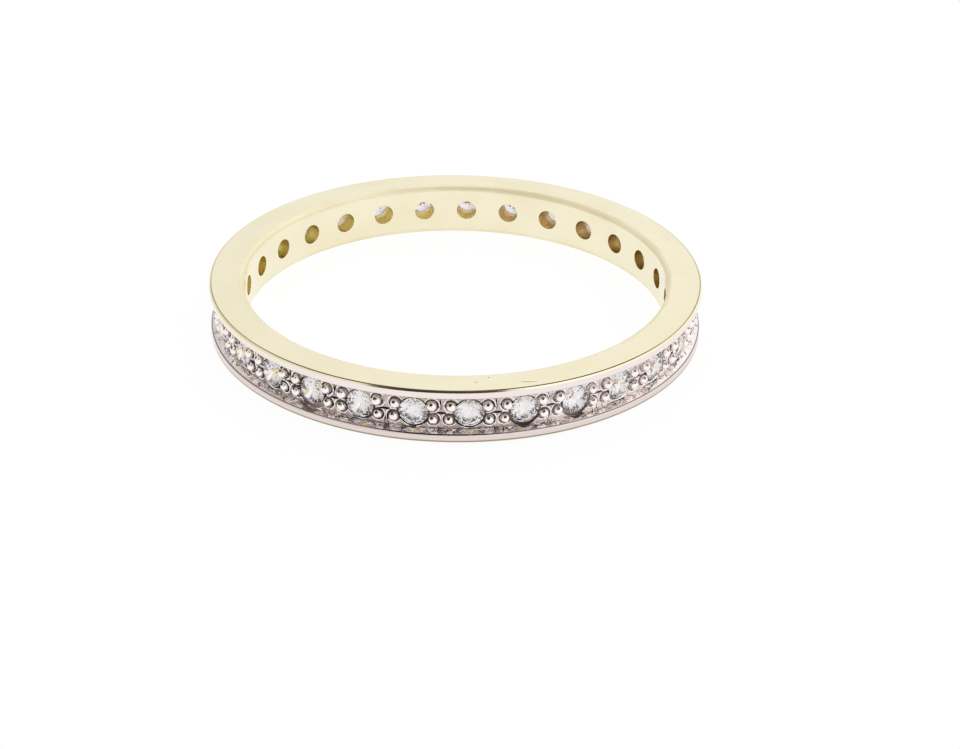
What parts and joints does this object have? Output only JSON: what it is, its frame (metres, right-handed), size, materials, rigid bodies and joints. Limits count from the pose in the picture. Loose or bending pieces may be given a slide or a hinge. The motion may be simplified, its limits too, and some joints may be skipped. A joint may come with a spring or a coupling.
{
  "type": "cubic zirconia eternity ring",
  "caption": "Flat-sided gold ring with a white-plated outer channel full of small round cut stones, each held by four metal grains.",
  "frame": {"origin": "centre of the side face that the ring lies on", "axes": "+Z along the axis of the finger hole, up as the ring lies; -Y through stone_01, at the front"},
  "size_m": [0.0198, 0.0198, 0.0022],
  "materials": {
    "gold": "polished yellow gold",
    "white_plating": "polished white plating over the gold, on the outer face",
    "stone": "clear colourless cut stone, polished"
  },
  "bodies": {
    "root": {"band": "gold", "stone_01": "stone", "stone_02": "stone", "stone_03": "stone", "stone_04": "stone", "stone_05": "stone", "stone_06": "stone", "stone_07": "stone", "stone_08": "stone", "stone_09": "stone", "stone_10": "stone", "stone_11": "stone", "stone_12": "stone", "stone_13": "stone", "stone_14": "stone", "stone_15": "stone", "stone_16": "stone", "stone_17": "stone", "stone_18": "stone", "stone_19": "stone", "stone_20": "stone", "stone_21": "stone", "stone_22": "stone", "stone_23": "stone", "stone_24": "stone", "stone_25": "stone", "stone_26": "stone", "stone_27": "stone", "stone_28": "stone", "stone_29": "stone"}
  },
  "joints": []
}
